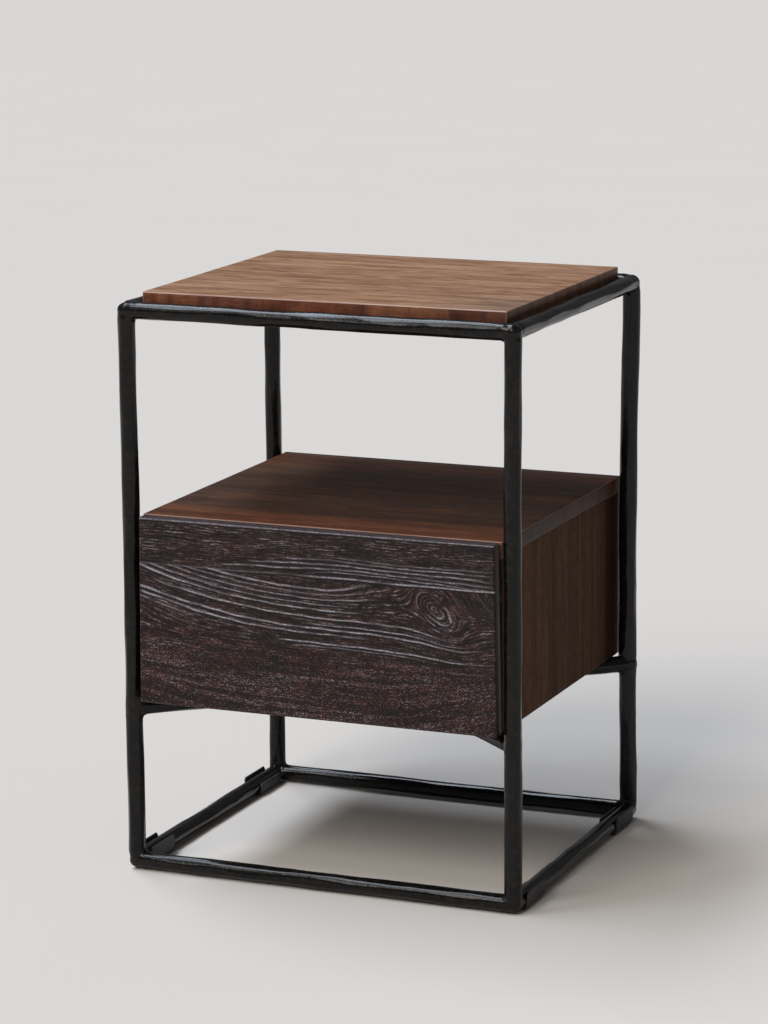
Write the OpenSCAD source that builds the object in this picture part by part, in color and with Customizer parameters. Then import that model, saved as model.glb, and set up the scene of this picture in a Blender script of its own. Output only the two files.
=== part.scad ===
// Side table: a forged round-bar iron frame holding an inset wooden top and a
// wooden cabinet with one handle-less drawer. Millimetres. +Z is up, the drawer
// opens towards -Y, and the origin is the centre of the footprint on the floor.

/* [Iron frame] */
// Overall width of the frame, outside the posts
frame_w = 412; // [380:1:460]
// Overall depth of the frame, outside the posts
frame_d = 353; // [340:1:400]
// Height of the top rails above the floor
frame_h = 565; // [520:1:620]
// Diameter of the posts
post_dia = 16; // [16:0.5:18]
// Diameter of the rails and cross-bars, a little thinner than the posts
rail_dia = 15.6; // [14:0.1:15.8]
// Height of the cross-bars' centre line above the floor
brace_z = 164.8; // [150:0.1:180]
// Thickness of the floor glides
glide_t = 2; // [1.5:0.1:3]
// Length of each floor glide
glide_len = 50; // [40:1:60]

/* [Tabletop] */
// Thickness of the wooden top
top_t = 20; // [18:1:25]
// How far the top stands above the top rails
top_proud = 9; // [6:1:12]
// Average gap between the top and the rails
top_gap = 3.5; // [2:0.1:5]
// How far the top sits back from the middle of the frame
top_back = 2; // [0:0.5:2]

/* [Cabinet] */
// Gap between the cabinet and the posts on each side
cabinet_gap = 4.5; // [3:0.1:6]
// Depth of the carcass
cabinet_d = 331; // [325:1:335]
// Height of the carcass
cabinet_h = 184; // [180:1:200]
// Thickness of the pads between the cross-bars and the cabinet
pad_t = 2; // [1:0.1:4]
// Thickness of the top, bottom and side panels
panel_t = 16; // [16:0.5:18]
// Thickness of the back panel, screwed on behind the carcass
back_t = 8; // [6:1:10]

/* [Drawer] */
// Thickness of the drawer front
front_t = 15; // [15:0.5:18]
// Gap between the closed drawer front and the carcass
front_gap = 3; // [2:0.1:4]
// How much narrower the front is than the carcass, on each side
front_inset = 1.5; // [0:0.5:2]
// Height of the drawer box
box_h = 110; // [90:1:115]
// Length of the drawer box
box_len = 278; // [262:1:280]
// Thickness of the drawer box's sides, front and back
box_t = 12; // [12:0.5:14]
// Thickness of the drawer's bottom sheet
sheet_t = 6; // [4:0.5:6]
// How far the drawer slides out
drawer_travel = 220; // [150:5:220]

/* [Hidden] */
$fn = 48;
cut = 1;                     // how far a cutter runs past the face it opens

iron = [0.11, 0.11, 0.12];
walnut = [0.42, 0.27, 0.20];
dark_wood = [0.24, 0.17, 0.14];
brushed_wood = [0.20, 0.16, 0.17];
pale_wood = [0.72, 0.58, 0.42];
zinc = [0.70, 0.71, 0.73];
nylon = [0.25, 0.25, 0.26];
rubber = [0.22, 0.22, 0.23];

post_r = post_dia / 2;
rail_r = rail_dia / 2;
half_w = frame_w / 2 - post_r;                  // post axis, from the centre plane
half_d = frame_d / 2 - post_r;
low_z = glide_t + rail_r;                       // centre line of the base rails
high_z = frame_h - rail_r;                      // centre line of the top rails

cabinet_half_w = half_w - post_r - cabinet_gap;
front_reach = cabinet_d / 2 + front_gap + front_t;
mid_y = (front_reach - frame_d / 2) / 2;        // the frame's centre, so the footprint centres on 0
cabinet_front = mid_y - cabinet_d / 2;
cabinet_rear = mid_y + cabinet_d / 2;
cabinet_z = brace_z + rail_r + pad_t;           // the cabinet rests on pads on the cross-bars
cabinet_top_z = cabinet_z + cabinet_h;
inner_half_w = cabinet_half_w - panel_t;        // inside face of the cabinet's sides
floor_z = cabinet_z + panel_t;                  // inside floor of the cabinet

top_half_w = half_w - rail_r - top_gap;
top_half_d = half_d - rail_r - top_gap;
top_y = mid_y + top_back;
top_z = frame_h + top_proud - top_t;            // underside of the wooden top

tab_t = 3;
tab_leg = 46;
tab_hole = 19;                                  // hole centre, from the post axis each way
tab_hole_r = 2.25;
wood_screw_r = 2;
tab_screw_len = 15;
tab_head_r = 4;
tab_head_h = 2.5;
recess_w = 0.8;                                 // driver recess in every screw head
recess_depth = 1.2;
brace_angle = atan2(half_d, half_w);
brace_len = 2 * sqrt(half_w * half_w + half_d * half_d);
cabinet_screw_at = 0.55;                        // fraction of the way out along each cross-bar
counterbore_r = 5;
counterbore_depth = 4;
cabinet_hole_r = 2.5;
cabinet_screw_len = rail_dia - counterbore_depth + pad_t + 12;
cabinet_head_r = 4.5;
cabinet_head_h = 3;
pad_r = 9;
pad_wrap = 4;                                   // the pads' lower edge, above the bars' centre line
glide_y = 130;                                  // glide centres, from the frame's centre
glide_arm = 9;                                  // how far the glide's arms rise past the rail's centre

dowel_r = 4;
dowel_pitch = 120;
top_dowel_len = 26;
top_dowel_down = 18;                            // its lower end, below the top panel
floor_dowel_len = 22;
floor_dowel_in = 3;                             // its middle, inwards of the side panel's inner face
back_screw_in = 12;                             // how far the back's screws reach into the panels
back_screw_x = 80;
back_screw_end = 30;                            // the highest and lowest ones, from the panel's ends
box_dowel_r = 3;
box_dowel_len = 24;
box_dowel_in = 4;                               // its middle, inwards of the drawer side's inner face
box_dowel_z = 30;                               // from the box's middle height

slide_t = 12.7;
slide_len = 262;
slide_back = 4;                                 // set-back behind the carcass's front edge
slide_y0 = cabinet_front + slide_back;
slide_mid_y = slide_y0 + slide_len / 2;
slide_wall = 1.2;
slide_half_h = 17.5;
middle_half_h = 12.3;
inner_half_h = 7.1;
outer_lip_u = 10.5;                             // free edges of the two wider channels
middle_lip_u = 11.2;
run_gap = 0.3;
ball_r = 1.7;
outer_ball_z = (slide_half_h - slide_wall + middle_half_h) / 2;
inner_ball_z = (middle_half_h - slide_wall + inner_half_h) / 2;
outer_ball_u = 7;
inner_ball_u = 8;
cage_wall = 0.5;
middle_u = slide_wall + 2 * run_gap + cage_wall;
inner_cage_u = middle_u + slide_wall + run_gap;
strip_t = 0.8;
cage_margin = 6;
cage_len = slide_len - drawer_travel / 2 - 2 * cage_margin;
cage_lip = 3;                                   // how far the cage's strips pass the balls
balls_per_row = 6;
ball_row_end = 10;                              // first ball, from the end of the cage
ball_play = 0.1;
slide_screw_pitch = 110;
slide_screw_r = 1.6;
slide_head_r = 2.9;
cabinet_side_len = 10;                          // length of the slide screws past the web
drawer_side_len = 9;

box_half_w = inner_half_w - slide_t;
box_lift = 5;                                   // the drawer box, above the cabinet's floor
box_z = floor_z + box_lift;
box_front = cabinet_front - front_gap;
box_rear = box_front + box_len;
slide_z = box_z + box_h / 2;
sheet_lift = 6;
sheet_z = box_z + sheet_lift;
groove = 6;
sheet_play = 0.5;
front_half_w = cabinet_half_w - front_inset;
front_screw_x = 100;
front_screw_z = 30;
front_screw_len = box_t + 10;
front_head_r = 3.5;
front_head_h = 2;
front_hole_r = 2.2;

latch_len = 48;
latch_half_w = 8;
latch_h = 21;
latch_rear = cabinet_rear;
latch_front = latch_rear - latch_len;
latch_bore_z = 13;                              // bore's axis, above the cabinet's floor
latch_z = floor_z + latch_bore_z;
bore_r = 4.05;
bore_len = 41;
plunger_r = 4;
plunger_len = 28;
strike_t = 1.6;
strike_half = 7;
latch_gap = 0.4;
plunger_tip = box_rear + strike_t + latch_gap;
flange_half_w = 22;
flange_t = 2.5;
flange_screw_x = 15;
flange_end = 12;                                // how far the flange stops short of the housing's ends
flange_hole_r = 1.8;
latch_screw_r = 1.6;
latch_screw_in = 10;                            // how far the screws reach into the cabinet's floor
latch_head_r = 3.2;
latch_head_h = 2;
coil_r = 3.2;
coil_wire_r = 0.35;
coil_turns = 6;
coil_steps = 12;
coil_sides = 6;

function post_y(sy) = mid_y + sy * half_d;

// ---- shared shapes ----

module block(lo, hi) {
  translate(lo) cube([hi[0] - lo[0], hi[1] - lo[1], hi[2] - lo[2]]);
}

module bar_x(y, z, r) {
  translate([-half_w, y, z]) rotate([0, 90, 0]) cylinder(h = 2 * half_w, r = r);
}

module bar_y(x, z, r) {
  translate([x, post_y(-1), z]) rotate([-90, 0, 0]) cylinder(h = 2 * half_d, r = r);
}

// A profile drawn in X and Z, run along Y from y0 to y1
module run_y(y0, y1) {
  translate([0, y1, 0]) rotate([90, 0, 0]) linear_extrude(y1 - y0) children();
}

// A rod along X: u runs from u0 to u1 in the slide's own direction
module rod_u(u0, u1, y, z, r0, r1) {
  translate([u0, y, z]) rotate([0, 90, 0]) cylinder(h = u1 - u0, r1 = r0, r2 = r1);
}

// Cross-shaped driver recess, cut downwards into a head whose top is at z = 0
module driver_recess(size) {
  for (a = [0, 90]) rotate([0, 0, a])
    translate([-size / 2, -recess_w / 2, -recess_depth]) cube([size, recess_w, recess_depth + cut]);
}

// Pan-head screw: the head is below z = 0, the shank points up
module pan_screw(shank_r, len, head_r, head_h) {
  cylinder(h = len, r = shank_r);
  difference() {
    translate([0, 0, -head_h]) cylinder(h = head_h, r = head_r);
    translate([0, 0, -head_h]) mirror([0, 0, 1]) driver_recess(head_r * 1.2);
  }
}

// ---- iron frame ----

module post_body(sx, sy) {
  translate([sx * half_w, post_y(sy), low_z]) {
    cylinder(h = high_z - low_z, r = post_r);
    for (z = [0, high_z - low_z]) translate([0, 0, z]) sphere(r = post_r);
  }
}

module post(sx, sy) {
  color(iron) post_body(sx, sy);
}

// Wedge inside a corner that belongs to the other rail, so that two rails meet in a mitre
module mitre(sx, sy, z, for_x_rail) {
  s = rail_dia;
  far = for_x_rail ? [0, -sy * s] : [-sx * s, 0];
  translate([sx * half_w, post_y(sy), z - rail_dia])
    linear_extrude(2 * rail_dia) polygon([[0, 0], [-sx * s, -sy * s], far]);
}

module rail_x(sy, z) {
  color(iron) difference() {
    bar_x(post_y(sy), z, rail_r);
    for (sx = [-1, 1]) {
      post_body(sx, sy);
      mitre(sx, sy, z, true);
    }
  }
}

module rail_y(sx, z) {
  color(iron) difference() {
    bar_y(sx * half_w, z, rail_r);
    for (sy = [-1, 1]) {
      post_body(sx, sy);
      mitre(sx, sy, z, false);
    }
  }
}

// One diagonal bar, post to post, halved where it crosses the other
module cross_bar(turn, lap_z) {
  color(iron) difference() {
    translate([0, mid_y, brace_z]) rotate([0, 0, turn * brace_angle]) rotate([0, 90, 0])
      cylinder(h = brace_len, r = rail_r, center = true);
    for (s = [-1, 1]) {
      post_body(s, turn * s);
      translate([s * cabinet_screw_at * half_w, mid_y + turn * s * cabinet_screw_at * half_d, 0]) {
        translate([0, 0, brace_z - rail_dia]) cylinder(h = 2 * rail_dia, r = cabinet_hole_r);
        translate([0, 0, brace_z - rail_dia])
          cylinder(h = rail_dia - rail_r + counterbore_depth, r = counterbore_r);
      }
    }
    translate([0, mid_y, brace_z]) rotate([0, 0, -turn * brace_angle])
      translate([-2 * rail_dia, -rail_r, lap_z]) cube([4 * rail_dia, rail_dia, rail_dia]);
  }
}

module corner_tab(sx, sy) {
  difference() {
    translate([sx * half_w, post_y(sy), top_z - tab_t]) difference() {
      linear_extrude(tab_t) polygon([[0, 0], [-sx * tab_leg, 0], [0, -sy * tab_leg]]);
      translate([-sx * tab_hole, -sy * tab_hole, -cut]) cylinder(h = tab_t + 2 * cut, r = tab_hole_r);
    }
    post_body(sx, sy);
    bar_x(post_y(sy), high_z, rail_r);
    bar_y(sx * half_w, high_z, rail_r);
  }
}

module tabletop_tabs() {
  color(iron) for (sx = [-1, 1], sy = [-1, 1]) corner_tab(sx, sy);
}

module at_tab_holes() {
  for (sx = [-1, 1], sy = [-1, 1])
    translate([sx * (half_w - tab_hole), mid_y + sy * (half_d - tab_hole), top_z - tab_t]) children();
}

module tabletop_screws() {
  color(zinc) at_tab_holes() pan_screw(wood_screw_r, tab_screw_len, tab_head_r, tab_head_h);
}

module floor_glides() {
  ro = rail_r + glide_t;
  color(rubber) for (sx = [-1, 1], sy = [-1, 1])
    translate([sx * half_w, 0, low_z])
      run_y(mid_y + sy * glide_y - glide_len / 2, mid_y + sy * glide_y + glide_len / 2)
        difference() {
          union() {
            circle(r = ro);
            translate([-ro, 0]) square([2 * ro, glide_arm]);
            translate([-ro / 2, -ro]) square([ro, ro]);
          }
          circle(r = rail_r);
          translate([-rail_r, 0]) square([2 * rail_r, glide_arm + cut]);
        }
}

// ---- wooden top ----

module tabletop() {
  color(walnut) difference() {
    block([-top_half_w, top_y - top_half_d, top_z], [top_half_w, top_y + top_half_d, top_z + top_t]);
    at_tab_holes() cylinder(h = tab_screw_len, r = wood_screw_r);
  }
}

// ---- cabinet ----

module at_cabinet_screws() {
  for (sx = [-1, 1], sy = [-1, 1])
    translate([sx * cabinet_screw_at * half_w, mid_y + sy * cabinet_screw_at * half_d,
               brace_z - rail_r + counterbore_depth]) children();
}

module cabinet_screws() {
  color(zinc) at_cabinet_screws() pan_screw(wood_screw_r, cabinet_screw_len, cabinet_head_r, cabinet_head_h);
}

// Saddle pads, shaped to the bars below them
module cabinet_pads() {
  color(rubber) difference() {
    for (sx = [-1, 1], sy = [-1, 1])
      translate([sx * cabinet_screw_at * half_w, mid_y + sy * cabinet_screw_at * half_d, brace_z + pad_wrap])
        cylinder(h = rail_r + pad_t - pad_wrap, r = pad_r);
    for (turn = [-1, 1]) translate([0, mid_y, brace_z]) rotate([0, 0, turn * brace_angle])
      rotate([0, 90, 0]) cylinder(h = brace_len, r = rail_r, center = true);
    at_cabinet_screws() cylinder(h = cabinet_screw_len, r = cabinet_hole_r);
  }
}

module cabinet_dowels_raw() {
  for (sx = [-1, 1], k = [-1 : 1]) {
    translate([sx * (cabinet_half_w - panel_t / 2), mid_y + k * dowel_pitch,
               cabinet_top_z - panel_t - top_dowel_down])
      cylinder(h = top_dowel_len, r = dowel_r);
    translate([sx * (inner_half_w - floor_dowel_in), mid_y + k * dowel_pitch, cabinet_z + panel_t / 2])
      rotate([0, 90, 0]) cylinder(h = floor_dowel_len, r = dowel_r, center = true);
  }
}

module cabinet_dowels() {
  color(pale_wood) cabinet_dowels_raw();
}

// Countersunk screws through the back, into the ends of the panels in front of it
module back_screws_raw() {
  side_x = cabinet_half_w - panel_t / 2;
  for (sx = [-1, 1], k = [-1 : 1])
    back_screw(sx * side_x, (cabinet_z + cabinet_top_z) / 2 + k * (cabinet_h / 2 - back_screw_end));
  for (sx = [-1, 1], z = [cabinet_z + panel_t / 2, cabinet_top_z - panel_t / 2])
    back_screw(sx * back_screw_x, z);
}

module back_screw(x, z) {
  translate([x, cabinet_rear + back_t, z]) rotate([90, 0, 0]) {
    cylinder(h = back_t + back_screw_in, r = slide_screw_r);
    cylinder(h = slide_wall, r1 = slide_head_r, r2 = slide_screw_r);
  }
}

module cabinet_back_screws() {
  color(zinc) back_screws_raw();
}

module cabinet_top() {
  color(walnut) difference() {
    block([-cabinet_half_w, cabinet_front, cabinet_top_z - panel_t],
          [cabinet_half_w, cabinet_rear, cabinet_top_z]);
    cabinet_dowels_raw();
    back_screws_raw();
  }
}

module cabinet_bottom() {
  color(dark_wood) difference() {
    block([-inner_half_w, cabinet_front, cabinet_z], [inner_half_w, cabinet_rear, floor_z]);
    cabinet_dowels_raw();
    back_screws_raw();
    at_cabinet_screws() cylinder(h = cabinet_screw_len, r = wood_screw_r);
    at_latch_screws() translate([0, 0, -latch_screw_in])
      cylinder(h = latch_screw_in + cut, r = latch_screw_r);
  }
}

// Right-hand side; the left one is its mirror image
module side_panel() {
  color(dark_wood) difference() {
    block([inner_half_w, cabinet_front, cabinet_z], [cabinet_half_w, cabinet_rear, cabinet_top_z - panel_t]);
    cabinet_dowels_raw();
    back_screws_raw();
    right_slide() cabinet_side_screws();
  }
}

module cabinet_back() {
  color(dark_wood) difference() {
    block([-cabinet_half_w, cabinet_rear, cabinet_z], [cabinet_half_w, cabinet_rear + back_t, cabinet_top_z]);
    back_screws_raw();
  }
}

// ---- telescopic slides, drawn with u running from the cabinet's side to the drawer's ----

module left_slide() {
  translate([-inner_half_w, 0, slide_z]) children();
}

module right_slide() {
  mirror([1, 0, 0]) left_slide() children();
}

module channel(u0, u1, half_h, wall, web_first) {
  v0 = web_first ? u0 + wall : u0 - cut;
  v1 = web_first ? u1 + cut : u1 - wall;
  difference() {
    translate([u0, -half_h]) square([u1 - u0, 2 * half_h]);
    translate([v0, -half_h + wall]) square([v1 - v0, 2 * (half_h - wall)]);
  }
}

module at_slide_screws() {
  for (k = [-1 : 1]) translate([0, slide_mid_y + k * slide_screw_pitch, 0]) children();
}

// Countersunk screws: through the outer channel's web into the cabinet's side
module cabinet_side_screws() {
  at_slide_screws() {
    rod_u(0, slide_wall, 0, 0, slide_screw_r, slide_head_r);
    rod_u(-cabinet_side_len, 0, 0, 0, slide_screw_r, slide_screw_r);
  }
}

// Countersunk screws: through the inner channel's web into the drawer's side
module drawer_side_screws() {
  at_slide_screws() {
    rod_u(slide_t - slide_wall, slide_t, 0, 0, slide_head_r, slide_screw_r);
    rod_u(slide_t, slide_t + drawer_side_len, 0, 0, slide_screw_r, slide_screw_r);
  }
}

module slide_outer() {
  color(zinc) difference() {
    run_y(slide_y0, slide_y0 + slide_len) channel(0, outer_lip_u, slide_half_h, slide_wall, true);
    cabinet_side_screws();
  }
}

module slide_middle() {
  color(zinc) run_y(slide_y0, slide_y0 + slide_len)
    channel(middle_u, middle_lip_u, middle_half_h, slide_wall, true);
}

module slide_inner() {
  color(zinc) difference() {
    run_y(slide_y0, slide_y0 + slide_len)
      channel(inner_cage_u + cage_wall + run_gap, slide_t, inner_half_h, slide_wall, false);
    drawer_side_screws();
  }
}

module at_balls(u, z) {
  pitch = (cage_len - 2 * ball_row_end) / (balls_per_row - 1);
  for (side = [-1, 1], k = [0 : balls_per_row - 1])
    translate([u, slide_mid_y - cage_len / 2 + ball_row_end + k * pitch, side * z]) children();
}

module ball_cage(u0, u1, ball_u, ball_z) {
  color(nylon) difference() {
    run_y(slide_mid_y - cage_len / 2, slide_mid_y + cage_len / 2) difference() {
      translate([u0, -ball_z - strip_t / 2]) square([u1 - u0, 2 * ball_z + strip_t]);
      translate([u0 + cage_wall, -ball_z + strip_t / 2]) square([u1, 2 * ball_z - strip_t]);
    }
    at_balls(ball_u, ball_z) cylinder(h = strip_t + 2 * cut, r = ball_r + ball_play, center = true);
  }
}

module outer_cage() {
  ball_cage(slide_wall + run_gap, outer_ball_u + cage_lip, outer_ball_u, outer_ball_z);
}

module inner_cage() {
  ball_cage(inner_cage_u, inner_ball_u + cage_lip, inner_ball_u, inner_ball_z);
}

module outer_balls() {
  color(zinc) at_balls(outer_ball_u, outer_ball_z) sphere(r = ball_r);
}

module inner_balls() {
  color(zinc) at_balls(inner_ball_u, inner_ball_z) sphere(r = ball_r);
}

module slide_screws_cabinet() {
  color(zinc) {
    left_slide() cabinet_side_screws();
    right_slide() cabinet_side_screws();
  }
}

module slide_screws_drawer() {
  color(zinc) {
    left_slide() drawer_side_screws();
    right_slide() drawer_side_screws();
  }
}

// ---- drawer ----

module at_front_screws() {
  for (sx = [-1, 1], sz = [-1, 1])
    translate([sx * front_screw_x, box_front + box_t, slide_z + sz * front_screw_z])
      rotate([90, 0, 0]) children();
}

module drawer_front() {
  color(brushed_wood) difference() {
    block([-front_half_w, box_front - front_t, cabinet_z], [front_half_w, box_front, cabinet_top_z]);
    at_front_screws() cylinder(h = front_screw_len, r = wood_screw_r);
  }
}

module drawer_dowels_raw() {
  for (sx = [-1, 1], y = [box_front + box_t / 2, box_rear - box_t / 2], sz = [-1, 1])
    translate([sx * (box_half_w - box_t - box_dowel_in), y, slide_z + sz * box_dowel_z])
      rotate([0, 90, 0]) cylinder(h = box_dowel_len, r = box_dowel_r, center = true);
}

module drawer_dowels() {
  color(pale_wood) drawer_dowels_raw();
}

// The space the bottom sheet takes, let into grooves on all four sides
module sheet(play) {
  reach = box_half_w - box_t + groove - play;
  block([-reach, box_front + box_t - groove + play, sheet_z],
        [reach, box_rear - box_t + groove - play, sheet_z + sheet_t]);
}

module drawer_bottom() {
  color(pale_wood) sheet(sheet_play);
}

module drawer_box_front() {
  color(pale_wood) difference() {
    block([-box_half_w + box_t, box_front, box_z], [box_half_w - box_t, box_front + box_t, box_z + box_h]);
    sheet(0);
    drawer_dowels_raw();
    at_front_screws() translate([0, 0, -cut]) cylinder(h = box_t + 2 * cut, r = front_hole_r);
  }
}

module drawer_box_back() {
  color(pale_wood) difference() {
    block([-box_half_w + box_t, box_rear - box_t, box_z], [box_half_w - box_t, box_rear, box_z + box_h]);
    sheet(0);
    drawer_dowels_raw();
  }
}

// Left-hand side; the right one is its mirror image
module box_side() {
  color(pale_wood) difference() {
    block([-box_half_w, box_front, box_z], [-box_half_w + box_t, box_rear, box_z + box_h]);
    sheet(0);
    drawer_dowels_raw();
    left_slide() drawer_side_screws();
  }
}

module drawer_front_screws() {
  color(zinc) at_front_screws() pan_screw(wood_screw_r, front_screw_len, front_head_r, front_head_h);
}

// ---- push-to-open latch ----

module at_latch_screws() {
  for (sx = [-1, 1]) translate([sx * flange_screw_x, latch_front + latch_len / 2, floor_z]) children();
}

module latch_housing() {
  color(nylon) difference() {
    union() {
      block([-latch_half_w, latch_front, floor_z], [latch_half_w, latch_rear, floor_z + latch_h]);
      block([-flange_half_w, latch_front + flange_end, floor_z],
            [flange_half_w, latch_rear - flange_end, floor_z + flange_t]);
    }
    translate([0, latch_front - cut, latch_z]) rotate([-90, 0, 0]) cylinder(h = bore_len + cut, r = bore_r);
    at_latch_screws() translate([0, 0, -cut]) cylinder(h = flange_t + 2 * cut, r = flange_hole_r);
  }
}

module latch_plunger() {
  color(zinc) translate([0, plunger_tip, latch_z]) rotate([-90, 0, 0])
    cylinder(h = plunger_len, r = plunger_r);
}

module latch_screws() {
  color(zinc) at_latch_screws() translate([0, 0, flange_t]) mirror([0, 0, 1])
    pan_screw(latch_screw_r, flange_t + latch_screw_in, latch_head_r, latch_head_h);
}

// Compression spring between the plunger and the bore's blind end
module latch_spring() {
  y0 = plunger_tip + plunger_len + coil_wire_r;
  y1 = latch_front + bore_len - coil_wire_r;
  rings = coil_turns * coil_steps;
  points = [for (i = [0 : rings], k = [0 : coil_sides - 1])
    let (a = 360 * i / coil_steps,
         b = 360 * k / coil_sides,
         r = coil_r + coil_wire_r * cos(b))
    [r * cos(a), y0 + (y1 - y0) * i / rings + coil_wire_r * sin(b), latch_z + r * sin(a)]];
  walls = [for (i = [0 : rings - 1], k = [0 : coil_sides - 1])
    let (n = (k + 1) % coil_sides)
    [i * coil_sides + k, i * coil_sides + n, (i + 1) * coil_sides + n, (i + 1) * coil_sides + k]];
  start = [[for (k = [0 : coil_sides - 1]) coil_sides - 1 - k]];
  end = [[for (k = [0 : coil_sides - 1]) rings * coil_sides + k]];
  color(zinc) polyhedron(points, concat(walls, start, end));
}

module latch_strike() {
  color(zinc) block([-strike_half, box_rear, latch_z - strike_half],
                    [strike_half, box_rear + strike_t, latch_z + strike_half]);
}

post(-1, -1);  // post_front_left
post(1, -1);  // post_front_right
post(-1, 1);  // post_rear_left
post(1, 1);  // post_rear_right
rail_x(-1, high_z);  // top_rail_front
rail_x(1, high_z);  // top_rail_rear
rail_y(-1, high_z);  // top_rail_left
rail_y(1, high_z);  // top_rail_right
rail_x(-1, low_z);  // base_rail_front
rail_x(1, low_z);  // base_rail_rear
rail_y(-1, low_z);  // base_rail_left
rail_y(1, low_z);  // base_rail_right
cross_bar(1, 0);  // cross_bar_lower
cross_bar(-1, -rail_dia);  // cross_bar_upper
tabletop_tabs();
tabletop_screws();
tabletop();
floor_glides();
cabinet_screws();
cabinet_top();
cabinet_bottom();
mirror([1, 0, 0]) side_panel();  // cabinet_side_left
side_panel();  // cabinet_side_right
cabinet_back();
cabinet_back_screws();
cabinet_dowels();
cabinet_pads();
left_slide() slide_outer();  // slide_outer_left
right_slide() slide_outer();  // slide_outer_right
left_slide() slide_middle();  // slide_middle_left
right_slide() slide_middle();  // slide_middle_right
left_slide() slide_inner();  // slide_inner_left
right_slide() slide_inner();  // slide_inner_right
left_slide() outer_cage();  // outer_cage_left
right_slide() outer_cage();  // outer_cage_right
left_slide() inner_cage();  // inner_cage_left
right_slide() inner_cage();  // inner_cage_right
left_slide() outer_balls();  // outer_balls_left
right_slide() outer_balls();  // outer_balls_right
left_slide() inner_balls();  // inner_balls_left
right_slide() inner_balls();  // inner_balls_right
slide_screws_cabinet();
slide_screws_drawer();
drawer_front();
drawer_box_front();
drawer_box_back();
box_side();  // drawer_side_left
mirror([1, 0, 0]) box_side();  // drawer_side_right
drawer_bottom();
drawer_dowels();
drawer_front_screws();
latch_housing();
latch_plunger();
latch_spring();
latch_screws();
latch_strike();
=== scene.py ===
import math

import bmesh
import bpy
import numpy as np
from mathutils import Matrix, Vector


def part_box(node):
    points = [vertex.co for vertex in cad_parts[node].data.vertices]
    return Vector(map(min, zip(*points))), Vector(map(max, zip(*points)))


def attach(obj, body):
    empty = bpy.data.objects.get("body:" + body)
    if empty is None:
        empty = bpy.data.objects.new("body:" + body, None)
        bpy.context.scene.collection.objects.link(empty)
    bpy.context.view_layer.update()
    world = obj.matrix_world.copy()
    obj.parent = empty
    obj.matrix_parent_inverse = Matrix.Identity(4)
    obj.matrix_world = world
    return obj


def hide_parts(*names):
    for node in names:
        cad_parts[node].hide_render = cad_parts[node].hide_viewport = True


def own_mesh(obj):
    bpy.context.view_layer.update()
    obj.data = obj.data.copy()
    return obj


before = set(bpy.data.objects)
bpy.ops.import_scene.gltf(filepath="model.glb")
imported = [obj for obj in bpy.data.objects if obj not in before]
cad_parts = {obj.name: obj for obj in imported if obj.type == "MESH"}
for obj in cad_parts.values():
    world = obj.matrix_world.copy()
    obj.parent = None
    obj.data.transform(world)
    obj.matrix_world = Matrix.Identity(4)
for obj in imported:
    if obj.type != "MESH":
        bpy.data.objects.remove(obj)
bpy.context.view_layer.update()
MM = 0.001


# ---- repeatable noise

def lattice(ix, iy, iz, seed):
    """A repeatable value from 0 to 1 at each whole-number point."""
    n = ix.astype(np.int64) * 374761393 + iy.astype(np.int64) * 668265263
    n = (n + iz.astype(np.int64) * 2147483647 + seed * 974634777) & 0xFFFFFFFF
    n = ((n ^ (n >> 13)) * 1274126177) & 0xFFFFFFFF
    return ((n ^ (n >> 16)) & 0xFFFFFFFF) / 0xFFFFFFFF


def noise3(x, y, z, seed):
    """Smooth value noise from 0 to 1."""
    x, y, z = np.broadcast_arrays(x, y, z)
    ix, iy, iz = np.floor(x), np.floor(y), np.floor(z)
    fx, fy, fz = (t * t * (3 - 2 * t) for t in (x - ix, y - iy, z - iz))
    total = 0
    for cx in (0, 1):
        for cy in (0, 1):
            for cz in (0, 1):
                weight = (fx if cx else 1 - fx) * (fy if cy else 1 - fy) * (fz if cz else 1 - fz)
                total = total + weight * lattice(ix + cx, iy + cy, iz + cz, seed)
    return total


def noise2(x, y, seed):
    return noise3(x, y, np.zeros(1), seed)


def fractal2(x, y, seed, octaves=3):
    total, weight, size = 0, 0, 1.0
    for k in range(octaves):
        total = total + size * noise2(x * 2 ** k, y * 2 ** k, seed + k)
        weight += size
        size *= 0.55
    return total / weight


def smoothstep(a, b, x):
    t = np.clip((x - a) / (b - a), 0, 1)
    return t * t * (3 - 2 * t)


# ---- pieces

def new_object(name, data):
    obj = bpy.data.objects.new(name, data)
    bpy.context.scene.collection.objects.link(obj)
    return obj


def add_piece(name, mesh, material, body, replaces, smooth_deg=40):
    mesh.materials.clear()
    mesh.materials.append(material)
    mesh.shade_smooth()
    mesh.set_sharp_from_angle(angle=math.radians(smooth_deg))
    obj = new_object(name, mesh)
    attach(obj, body)
    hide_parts(*replaces)
    return obj


def grid_faces(rows, cols, wrap_cols=False):
    """Quads over a rows by cols grid of vertices, row after row."""
    faces = []
    for i in range(rows - 1):
        for j in range(cols if wrap_cols else cols - 1):
            k = (j + 1) % cols
            faces.append((i * cols + j, i * cols + k, (i + 1) * cols + k, (i + 1) * cols + j))
    return faces


def tube_faces(rings, sides):
    """A tube's walls, ring after ring, and a flat cap on each end."""
    last = (rings - 1) * sides
    caps = [tuple(range(sides))[::-1], tuple(range(last, last + sides))]
    return grid_faces(rings, sides, wrap_cols=True) + caps


def mesh_from(name, verts, faces):
    mesh = bpy.data.meshes.new(name)
    mesh.from_pydata([tuple(v) for v in verts], [], faces)
    bm = bmesh.new()
    bm.from_mesh(mesh)
    bmesh.ops.recalc_face_normals(bm, faces=bm.faces)
    bm.to_mesh(mesh)
    bm.free()
    return mesh


def sharp_edges(bm, angle):
    return [e for e in bm.edges if len(e.link_faces) == 2 and e.calc_face_angle(0) > angle]


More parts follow.
